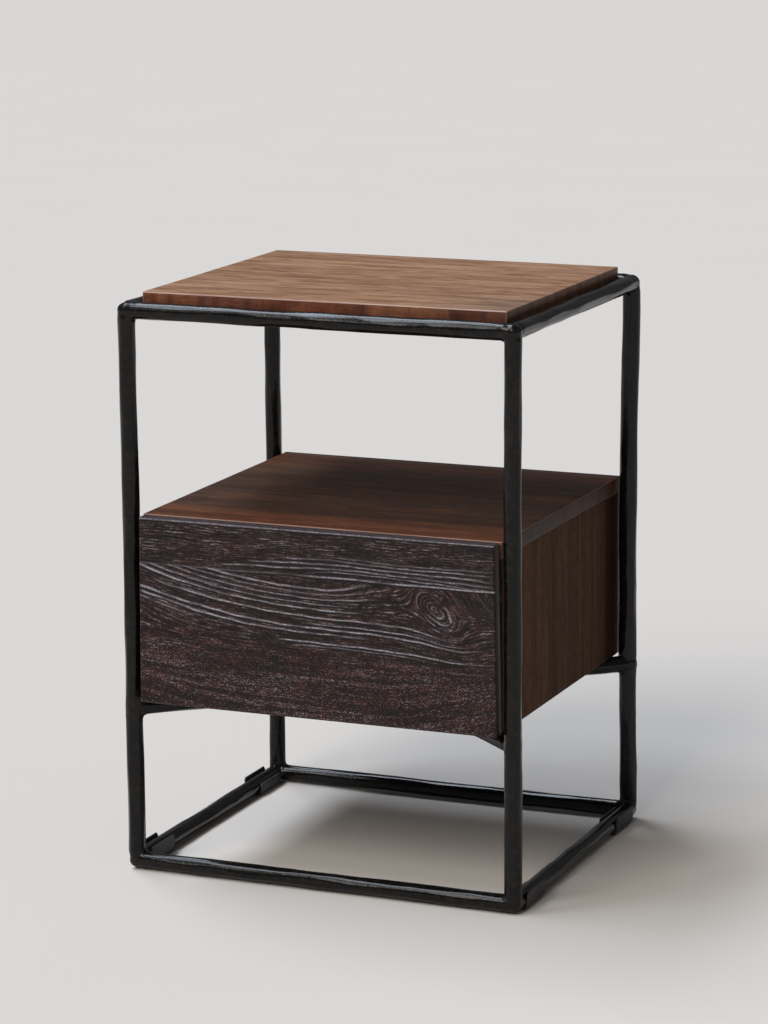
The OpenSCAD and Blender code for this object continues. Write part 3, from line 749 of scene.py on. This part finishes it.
# Node, piece, material, body and slot, seed, rounding of the edges and their wear in mm
BOARDS = (
    ("tabletop", "tabletop_board", TOP_WOOD, ("base", "tabletop_wood"), 3, 1.1, 0.12),
    ("cabinet_top", "cabinet_top_board", CASE_TOP_WOOD, CASE, 4, 0.8, 0.12),
    ("cabinet_bottom", "cabinet_floor_board", CASE_WOOD_X, CASE, 5, 0.9, 0.12),
    ("cabinet_side_left", "cabinet_left_board", CASE_WOOD_Z, CASE, 6, 0.3, 0.04),
    ("cabinet_side_right", "cabinet_right_board", CASE_WOOD_Z, CASE, 7, 0.3, 0.04),
    ("cabinet_back", "cabinet_back_board", BACK_WOOD, CASE, 8, 0.6, 0.12),
    ("drawer_side_left", "drawer_left_board", BOX_WOOD_Y, BOX, 9, 0.9, 0.12),
    ("drawer_side_right", "drawer_right_board", BOX_WOOD_Y, BOX, 10, 0.9, 0.12),
    ("drawer_box_front", "drawer_inner_front_board", BOX_WOOD_X, BOX, 11, 0.9, 0.12),
    ("drawer_box_back", "drawer_back_board", BOX_WOOD_X, BOX, 12, 0.9, 0.12),
    ("drawer_bottom", "drawer_bottom_sheet", SHEET_WOOD, BOX, 13, 0.4, 0.12),
)
for board_node, board_name, wood, home, board_seed, rounding, rub in BOARDS:
    eased_board(board_node, board_name, wood, *home, board_seed, rounding * MM, rub * MM)


# ---- brushed drawer front

FRONT_W, FRONT_H = FRONT_HI.x - FRONT_LO.x, FRONT_HI.z - FRONT_LO.z
RELIEF = 1.15 * MM                 # depth of the brushed-out grain
EASE, REAR_EASE = 1.5 * MM, 0.7 * MM       # rounding of the board's front and rear edges
OUT_OF_SQUARE_LEFT = 2.2 * MM      # the front was cut by hand: its upper left corner runs in
OUT_OF_SQUARE_RIGHT = 2.6 * MM     # and its lower right corner runs out
# Places on the front are in mm: u runs right from its left edge, v down from its top edge
BOWL = 205.0                       # the lower board's grain climbs to the left of this u
SEAM = 44.0                        # v of the joint between the front's two boards
KNOT_U, KNOT_V = 309.0, 67.0
# Long ridges that stand out pale: place across the grain, half width, first and last u, strength
RIDGES = ((76.0, 0.6, 0, 235, 1.0), (93.8, 0.65, 0, 352, 1.0), (98.6, 0.55, 0, 240, 0.9),
          (83.5, 0.6, 20, 330, 0.9), (66.0, 0.5, 20, 250, 0.7), (57.0, 0.7, 70, 240, 0.9),
          (71.0, 0.5, 10, 220, 0.7), (61.5, 0.4, 40, 240, 0.6), (89.5, 0.5, 180, 345, 0.8),
          (107.5, 0.6, 150, 368, 0.9), (110.5, 0.5, 170, 300, 0.5), (103.5, 0.5, 0, 60, 0.5),
          (327.5, 0.5, 210, 368, 0.6), (331.0, 0.6, 150, 368, 0.7), (335.5, 0.6, 120, 368, 0.8),
          (340.0, 0.6, 90, 368, 0.75), (343.3, 0.45, 190, 368, 0.7))
# Patches where the reddish stain shows through: u, half width, v, half height, strength
RED_PATCHES = ((285, 34, 150, 16, 0.9), (30, 40, 172, 12, 0.9), (366, 12, 150, 34, 0.8),
               (318, 20, 62, 16, 0.5))


def grain_field(u, v):
    """Grain lines of the front, in mm, and how far each place is from the knot.
    A line of grain is a curve along which the result stays the same."""
    left = np.clip(1 - u / BOWL, 0, 1) ** 2.0
    lift = (27 + 3 * np.exp(-((v - SEAM) / 15) ** 2)) * (1 - 0.75 * smoothstep(78, 120, v))
    corner = 9 * np.clip(1 - u / 115, 0, 1) ** 2 * smoothstep(132, 160, v)
    rise = smoothstep(190, 262, u) * 10 * np.exp(-((v - SEAM) / 20) ** 2)
    sweep = 38 * np.clip((u - 245) / 123, 0, 1) ** 1.7 * smoothstep(114, 152, v)
    dive = 0.95 * np.maximum(u - 316, 0) * (1 - smoothstep(60, 76, v)) * smoothstep(310, 326, u)
    flow = v + lift * left + corner + rise + sweep - dive
    du, dv = u - KNOT_U, v - KNOT_V
    tilt = math.radians(38)
    long = du * math.cos(tilt) + dv * math.sin(tilt)
    wide = -du * math.sin(tilt) + dv * math.cos(tilt)
    reach = np.hypot(long / 25.0, wide / 13.0)
    centre = KNOT_V + 3.0
    ring = 1 - 1 / np.maximum(reach, 1e-3) ** 1.7
    outer = centre + (flow - centre) * np.where(reach > 1, ring, 0)
    inner = centre - 15.0 * (1 - reach)
    lower = np.where(reach > 1, outer, inner)
    hump = 6.5 * np.exp(-((u - 215) / 62) ** 2) * smoothstep(0, SEAM, v)
    upper = v + hump + 1.3 * np.sin(u / 31.0 + v / 9.0) + 300
    return np.where(v < SEAM, upper, lower), reach


def pale_lines_and_highlights(u, v, f, reach):
    """What stands out pale: long ridges, the knot's eye, the seam and the rim along the top. The
    pale is partly wax in the grain and partly painted highlight.
    """
    line = np.zeros_like(u)
    for value, width, start, stop, gain in RIDGES:
        inside = smoothstep(start - 8, start + 8, u) * (1 - smoothstep(stop - 30, stop + 6, u))
        uneven = 0.45 + 0.55 * smoothstep(0.2, 0.6, fractal2(u / 15, value + v * 0, 71, 2))
        ripple = 0.35 * np.sin(u / 9 + value) + 0.25 * np.sin(u / 4.1 + value * 2)
        spread = width * (1 + 0.7 * np.exp(-u / 55))
        mark = np.exp(-((f + 0.6 * ripple - value) / spread) ** 2)
        line = np.maximum(line, gain * inside * uneven * mark * (reach > 0.98))
    wobble = reach + 0.16 * (fractal2(u / 9, v / 6, 79, 2) - 0.5)
    eye = np.exp(-((np.mod(wobble * 3.1 + 0.35, 1) - 0.5) / 0.15) ** 2) * (reach < 1)
    # Painted highlight: the eye's rings show pale only on their lower right side.
    lit = smoothstep(0.35, 0.65, fractal2(u / 8, v / 8, 77, 2))
    lit *= smoothstep(-14, 12, v - KNOT_V - 2 + u - KNOT_U)
    line = np.maximum(line, 0.7 * eye * lit)
    seam = np.exp(-((v - SEAM - 0.2 - 0.5 * np.sin(u / 40) - 0.3 * np.sin(u / 13)) / 0.7) ** 2)
    seam *= smoothstep(0.1, 0.45, fractal2(u / 23, v * 0, 81, 2))
    seam *= 0.35 + 0.65 * smoothstep(100, 240, u)
    # Painted highlight along the front's top edge.
    rim = np.exp(-((v - 1.0) / 0.6) ** 2) * (0.7 + 0.3 * noise2(u / 3, v * 0, 83))
    return np.maximum(np.maximum(line, 0.95 * seam), 0.8 * rim)


def red_stain(u, v, rough, wave):
    """How much of the reddish undertone shows: more in the rough part and in some patches."""
    red = 0.45 + 0.55 * smoothstep(0.42, 0.66, fractal2(u / 42, v / 17, 91)) * (0.6 + 0.4 * rough)
    red += rough * (0.15 + 0.35 * (1 - wave))
    for at, wide, down, high, gain in RED_PATCHES:
        red += gain * np.exp(-((u - at) / wide) ** 2 - ((v - down) / high) ** 2)
    return red


def front_relief(u, v):
    """Height, red tone, pale lines and grain over the front, from u and v in mm. Height 1 is the
    untouched surface, and the soft grain between the ridges is brushed out below it."""
    flow, reach = grain_field(u, v)
    along = u + 0.35 * v
    bend = 1.6 * (fractal2(along / 36, flow / 12, 21) - 0.5)
    f = flow + bend + 0.8 * (fractal2(along / 10, flow / 4, 23, 2) - 0.5)
    wander = 2.4 * noise2(along / 42, f / 4.5, 27)
    fine = (0.5 + 0.5 * np.cos(math.tau * (f + wander) / 2.6)) ** 1.6
    fine *= 0.25 + 0.75 * smoothstep(0.25, 0.7, noise2(along / 19, f / 3.1, 31))
    thread = 0.5 + 0.5 * np.cos(math.tau * (f - wander) / 1.65)
    thread *= smoothstep(0.2, 0.75, noise2(along / 9, f / 2.2, 33))
    furrow = smoothstep(0.62, 0.85, noise2(along / 34, f / 1.7, 37))
    hair = noise2((u + 0.5 * v) / 3.0, f, 51)
    dark = fractal2(along / 45, f / 7, 57, 2)
    speckle = noise2((u + 0.5 * v) / 1.7, (v - 0.2 * u) / 0.95, 61)
    rough = smoothstep(98, 135, v)      # 1 in the lower part, which stays gritty
    height = 0.2 + 0.3 * fine + 0.2 * thread - 0.2 * furrow + 0.26 * (hair - 0.5)
    height += 0.2 * (dark - 0.5) + 0.14 * (speckle - 0.5) + 0.02 * rough
    calmer = 0.24 + 0.6 * (height - 0.24) + 0.42 * (speckle - 0.5)
    wave = smoothstep(0.25, 0.75, noise2(along / 70, f / 4.2, 97))
    height += rough * (calmer - height + 0.2 * (wave - 0.5))
    line = pale_lines_and_highlights(u, v, flow + 0.35 * bend, reach)
    red = red_stain(u, v, rough, wave)
    # Painted shadow: just below the seam and below each pale line the height drops. This darkens
    # the colour there through the ridge attribute, as well as carving a shallow dip.
    near = np.exp(-((v - SEAM) / 3.0) ** 2) * (v > SEAM + 0.5)
    broken = smoothstep(0.15, 0.6, noise2(u / 1.6, v / 0.9, 67))
    line *= 0.55 + 0.45 * broken
    shade = np.roll(line, 2, axis=0) + 0.6 * np.roll(line, 3, axis=0)
    height = np.clip(height - 0.25 * near - 0.4 * np.clip(shade, 0, 1), 0, 1)
    height = np.clip(np.maximum(height, 1.1 * line), 0, 1.1)
    return height, np.clip(red, 0, 1), np.clip(line, 0, 1), f


def front_columns():
    """Sample places along the front, closer together around the knot."""
    coarse = np.arange(0, 236, 1.5)
    return np.concatenate((coarse, np.linspace(236, FRONT_W / MM, 146)))


def front_places(uu, vv, height):
    """Where each sample of the front lies: carved, eased at its edges and out of square."""
    edge = np.minimum.reduce((uu, FRONT_W / MM - uu, vv, FRONT_H / MM - vv))
    ease = EASE * (1 - np.sqrt(np.clip(1 - (1 - np.clip(edge / 1.6, 0, 1)) ** 2, 0, 1)))
    y = FRONT_LO.y + RELIEF * (1.05 - height) * smoothstep(0, 2.5, edge) + ease
    across, down = uu / uu.max(), vv / vv.max()
    x = FRONT_LO.x + uu * MM + OUT_OF_SQUARE_LEFT * (1 - down) * (1 - across)
    x += OUT_OF_SQUARE_RIGHT * down * across
    return np.stack((x, y, FRONT_HI.z - vv * MM), axis=-1).reshape(-1, 3)


def add_backing(verts, faces, rows, cols):
    """Closes the front's carved face into a board, with layers of points behind its outline."""
    ring = list(range(cols))
    ring += [i * cols + cols - 1 for i in range(1, rows)]
    ring += [(rows - 1) * cols + j for j in range(cols - 2, -1, -1)]
    ring += [i * cols for i in range(rows - 2, 0, -1)]
    outline = [verts[k] for k in ring]
    depth = FRONT_HI.y - FRONT_LO.y
    layers = ((2.2 * MM, 0), (6 * MM, 0), (depth - 1.0 * MM, 0), (depth, REAR_EASE))
    centre = (FRONT_LO + FRONT_HI) / 2
    previous = ring
    for back, pull in layers:
        start = len(verts)
        for px, _, pz in outline:
            px += -pull if px > centre.x else pull
            pz += -pull if pz > centre.z else pull
            verts.append((px, FRONT_LO.y + back, pz))
        now = list(range(start, len(verts)))
        for k in range(len(ring)):
            n = (k + 1) % len(ring)
            faces.append((previous[k], previous[n], now[n], now[k]))
        previous = now
    faces.append(tuple(previous[::-1]))


def brushed_front():
    """The drawer front: a finely carved face that carries its own grain, on a plain board."""
    uu, vv = np.meshgrid(front_columns(), np.linspace(0, FRONT_H / MM, 300))
    height, red, line, flow = front_relief(uu, vv)
    rows, cols = uu.shape
    verts = [tuple(p) for p in front_places(uu, vv, height)]
    faces = grid_faces(rows, cols)
    add_backing(verts, faces, rows, cols)
    mesh = mesh_from("brushed_drawer_front", verts, faces)
    for label, values in (("ridge", height), ("red", red), ("line", line), ("flow", flow)):
        flat = np.full(len(verts), 0.35 if label == "ridge" else 0.0, np.float32)
        flat[:rows * cols] = values.reshape(-1)
        mesh.attributes.new(label, "FLOAT", "POINT").data.foreach_set("value", flat)
    add_piece("brushed_drawer_front", mesh, FRONT_WOOD, "drawer",
              ("drawer_front",), 60)
    mesh.materials.append(FRONT_EDGE_WOOD)
    for polygon in mesh.polygons[(rows - 1) * (cols - 1):]:
        polygon.material_index = 1


brushed_front()


# ---- floor glides

SQUARED = 0.55           # below 1 the glide's outside is squarer than a plain half round
ARM_CORNER = 2.6 * MM    # rounding of the arms' upper corners
GLIDE_LENGTH = 50 * MM
# Tops of the inner arms that end lower than the outer ones, by side and end (0 is the front)
LOW_ARMS = {("right", 0): 13.0 * MM, ("right", 1): 15.5 * MM, ("left", 1): 13.5 * MM}


def glide_outline(inner_r, thick, arm_top, centre_z, lean):
    """Half a glide's section: how far out and how high its inner and outer lines run, from the
    bottom to the arm's top."""
    inner, outer = [], []
    for t in np.linspace(0, 1, 9):
        turn = t * math.pi / 2
        inner.append((inner_r * math.sin(turn), centre_z - inner_r * math.cos(turn)))
        r = inner_r + thick
        outer.append((r * math.sin(turn) ** SQUARED, centre_z - r * math.cos(turn) ** SQUARED))
    for t in np.linspace(0.15, 1, 7):
        z = centre_z + t * (arm_top - centre_z)
        out = lean * t * t
        inner.append((inner_r + out, z))
        outer.append((inner_r + thick * (1 - 0.15 * t) + out, z))
    return inner, outer


def glide_mesh(bm, x, y0, y1, rail, outward, inner_top, seed):
    """One strip bent round the rail from below: two flaring arms with rounded corners."""
    lo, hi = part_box("floor_glides")
    rail_lo, rail_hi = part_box(rail)
    centre_z = (rail_lo.z + rail_hi.z) / 2
    inner_r = (rail_hi.z - rail_lo.z) / 2 + 0.05 * MM
    thick = centre_z - inner_r - lo.z
    ys = np.linspace(y0, y1, 22)
    rows = []
    for y in ys:
        near = min(y - y0, y1 - y)
        cut = ARM_CORNER - math.sqrt(max(ARM_CORNER ** 2 - max(ARM_CORNER - near, 0) ** 2, 0))
        wave = float(noise2(np.array([y / 0.013]), np.array([seed * 1.7]), 3)[0]) - 0.5
        section = []
        for sign in (-1, 1):
            lean = (0.9 * MM if sign == outward else 0.45 * MM) + 0.5 * MM * wave
            top = (hi.z - 0.3 * MM if sign == outward else inner_top) - cut
            inner, outer = glide_outline(inner_r, thick, top, centre_z, lean)
            section.append(([(sign * a, b) for a, b in inner], [(sign * a, b) for a, b in outer]))
        loop = section[0][1][::-1] + section[1][1][1:] + section[1][0][::-1] + section[0][0][1:]
        rows.append([bm.verts.new((x + a, y, b)) for a, b in loop])
    n = len(rows[0])
    for a, b in zip(rows, rows[1:]):
        for k in range(n):
            bm.faces.new((a[k], a[(k + 1) % n], b[(k + 1) % n], b[k]))
    for row in (rows[0], rows[-1]):
        for k in range(n // 2 - 1):
            quad = (row[k], row[k + 1], row[n - 2 - k], row[n - 1 - k])
            bm.faces.new(quad)


def rubber_glides():
    lo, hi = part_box("floor_glides")
    bm = bmesh.new()
    seed = 0
    for side, outward in (("left", -1), ("right", 1)):
        rail = "base_rail_" + side
        rail_lo, rail_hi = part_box(rail)
        x = (rail_lo.x + rail_hi.x) / 2
        for end, y0 in enumerate((lo.y, hi.y - GLIDE_LENGTH)):
            inner_top = LOW_ARMS.get((side, end), hi.z - 0.3 * MM)
            glide_mesh(bm, x, y0, y0 + GLIDE_LENGTH, rail, outward, inner_top, seed)
            seed += 1
    bmesh.ops.recalc_face_normals(bm, faces=bm.faces)
    mesh = bevelled("rubber_floor_glides", bm, sharp_edges(bm, 1.1), 0.45 * MM, 2)
    add_piece("rubber_floor_glides", mesh, RUBBER, "base", ("floor_glides",))


rubber_glides()


# ---- latch spring

WIRE = 0.35 * MM         # the wire's radius
COILS = 6
COIL_STEPS = 20          # rings of points in one turn
WIRE_SIDES = 8


def coiled_spring(node):
    """The latch's spring, wound between the plunger's end and the bore's blind end."""
    lo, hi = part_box(node)
    centre = (lo + hi) / 2
    coil_r = (hi.z - lo.z) / 2 - WIRE
    rings = COILS * COIL_STEPS
    verts = []
    for i in range(rings + 1):
        turn = math.tau * i / COIL_STEPS
        y = lo.y + WIRE + (hi.y - lo.y - 2 * WIRE) * i / rings
        for k in range(WIRE_SIDES):
            b = math.tau * k / WIRE_SIDES
            r = coil_r + WIRE * math.cos(b)
            verts.append((centre.x + r * math.cos(turn), y + WIRE * math.sin(b),
                          centre.z + r * math.sin(turn)))
    mesh = mesh_from("coiled_latch_spring", verts, tube_faces(rings + 1, WIRE_SIDES))
    spring = add_piece("coiled_latch_spring", mesh, ZINC, "base", (node,))
    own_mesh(spring)


coiled_spring("latch_spring")


# ---- looks of the CAD nodes kept

def both(*names):
    return [name + side for name in names for side in ("_left", "_right")]


KEPT = {
    IRON: ("tabletop_tabs",),
    BLACK_STEEL: ("tabletop_screws", "cabinet_screws"),
    SCREW_STEEL: ("cabinet_back_screws", "slide_screws_cabinet", "slide_screws_drawer",
                  "drawer_front_screws", "latch_screws"),
    ZINC: (*both("slide_outer", "slide_middle", "slide_inner"), "latch_strike"),
    BRIGHT_STEEL: both("outer_balls", "inner_balls"),
    NYLON: (*both("outer_cage", "inner_cage"), "latch_housing", "latch_plunger"),
    RUBBER: ("cabinet_pads",),
    BOX_WOOD_X: ("cabinet_dowels", "drawer_dowels"),
}
for material, names in KEPT.items():
    for node_name in names:
        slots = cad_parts[node_name].data.materials
        slots.clear()
        slots.append(material)


# ---- floor, light and camera

def pale_floor():
    """A plain disc, far wider than the view."""
    radius, rings, spokes = 60.0, 6, 64
    verts = [(0, 0, 0)]
    faces = []
    for i in range(1, rings + 1):
        r = radius * (i / rings) ** 2
        verts += [(r * math.cos(k * math.tau / spokes), r * math.sin(k * math.tau / spokes), 0)
                  for k in range(spokes)]
    for k in range(spokes):
        n = (k + 1) % spokes
        faces.append((0, 1 + k, 1 + n))
        for i in range(rings - 1):
            a, b = 1 + i * spokes, 1 + (i + 1) * spokes
            faces.append((a + k, b + k, b + n, a + n))
    mesh = bpy.data.meshes.new("pale_floor")
    mesh.from_pydata(verts, [], faces)
    look = Look("pale_floor_paint", roughness=0.8, Specular_IOR_Level=0.1)
    look.colour(look.ramp(look.noise(look.coords, 3, 2, 0.5), (0.3, (0.7, 0.655, 0.605)),
                          (0.7, (0.705, 0.66, 0.61))))
    mesh.materials.append(look.material)
    new_object("pale_floor", mesh)


def soft_sun(name, azimuth, elevation, angle, strength, colour):
    """A broad, even light from one part of the studio. Azimuth 0 comes from the front."""
    light = bpy.data.lights.new(name, "SUN")
    light.angle = math.radians(angle)
    light.energy = strength
    light.color = colour
    obj = new_object(name, light)
    az, el = math.radians(azimuth), math.radians(elevation)
    towards = Vector((math.sin(az) * math.cos(el), -math.cos(az) * math.cos(el), math.sin(el)))
    obj.rotation_euler = towards.to_track_quat("Z", "Y").to_euler()


# A row of lights high on the left, each with its azimuth and elevation in degrees
STRIP = (("strip_front", -50, 60), ("strip_middle", -88, 68), ("strip_rear", -122, 63))


def studio():
    """One broad light from the front, and the row whose highlights run down the bars."""
    world = bpy.data.worlds.new("pale_studio")
    bpy.context.scene.world = world
    world.use_nodes = True
    background = world.node_tree.nodes["Background"]
    background.inputs["Color"].default_value = (0.95, 0.97, 1.0, 1)
    background.inputs["Strength"].default_value = 0.15
    soft_sun("front_light", -12, 42, 30, 1.55, (1.0, 0.965, 0.92))
    for name, azimuth, elevation in STRIP:
        soft_sun(name, azimuth, elevation, 17, 0.8, (0.8, 0.88, 1.0))
    bpy.context.scene.view_settings.view_transform = "Standard"


CAMERA_AT = (1.3551, -3.24723, 1.07897)
CAMERA_TURN = (22.66, 11.83, -0.42)        # azimuth from the front, downward tilt and roll
CAMERA_LENS = 127.7                        # mm, on the default 36 mm sensor


def camera():
    """The photograph's view, fitted to the frame's straight edges."""
    data = bpy.data.cameras.new("viewing_camera")
    data.lens = CAMERA_LENS
    data.clip_start = 0.05
    data.clip_end = 200.0
    obj = new_object("viewing_camera", data)
    az, el, roll = (math.radians(a) for a in CAMERA_TURN)
    forward = Vector((-math.sin(az) * math.cos(el), math.cos(az) * math.cos(el), -math.sin(el)))
    right = Vector((math.cos(az), math.sin(az), 0))
    up = right.cross(forward)
    right, up = (math.cos(roll) * right + math.sin(roll) * up,
                 math.cos(roll) * up - math.sin(roll) * right)
    turn = Matrix((right, up, -forward)).transposed().to_4x4()
    obj.matrix_world = Matrix.Translation(CAMERA_AT) @ turn
    bpy.context.scene.camera = obj


pale_floor()
studio()
camera()
